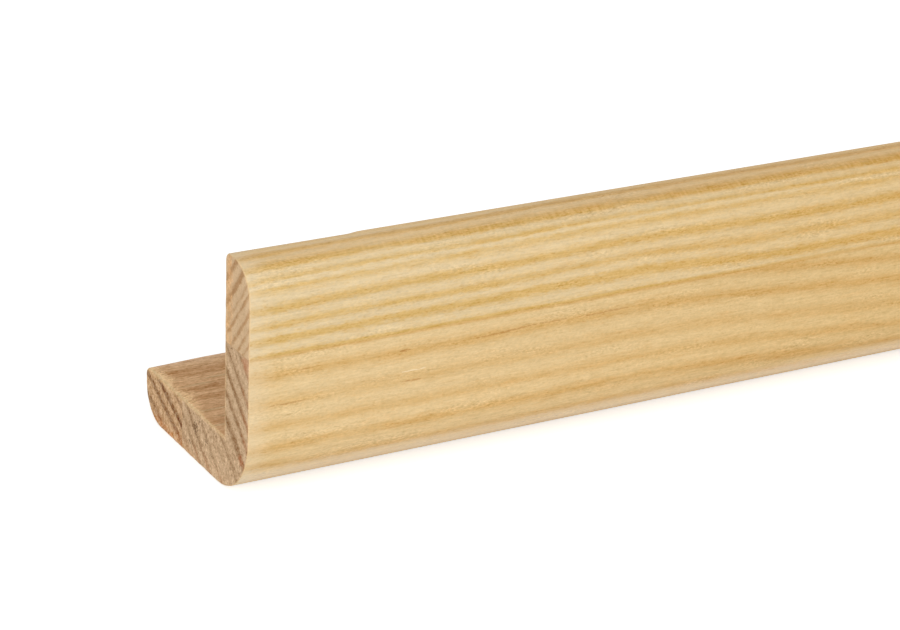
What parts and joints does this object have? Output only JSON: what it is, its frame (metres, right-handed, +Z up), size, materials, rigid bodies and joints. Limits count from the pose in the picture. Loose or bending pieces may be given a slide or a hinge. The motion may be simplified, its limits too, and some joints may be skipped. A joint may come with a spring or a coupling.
{
  "type": "corner guard moulding",
  "caption": "Wooden angle moulding with equal legs, a rounded outer corner and rounded leg tips, to cover the outside corner of a wall.",
  "frame": {"origin": "at floor level, below the middle of the box round the stock", "axes": "+X along the stock, +Z up, +Y from the upright leg towards the tip of the flat leg; the flat leg lies on its outer face"},
  "size_m": [0.9, 0.027, 0.027],
  "materials": {
    "corner_strip_wood": "planed, unfinished pine, soft grain",
    "flat_leg_wood": "planed, unfinished pine, dark latewood",
    "upright_leg_wood": "planed, unfinished pine, golden latewood stripes"
  },
  "bodies": {
    "root": {"corner_strip": "corner_strip_wood", "flat_leg_strip": "flat_leg_wood", "upright_leg_strip": "upright_leg_wood"}
  },
  "joints": []
}
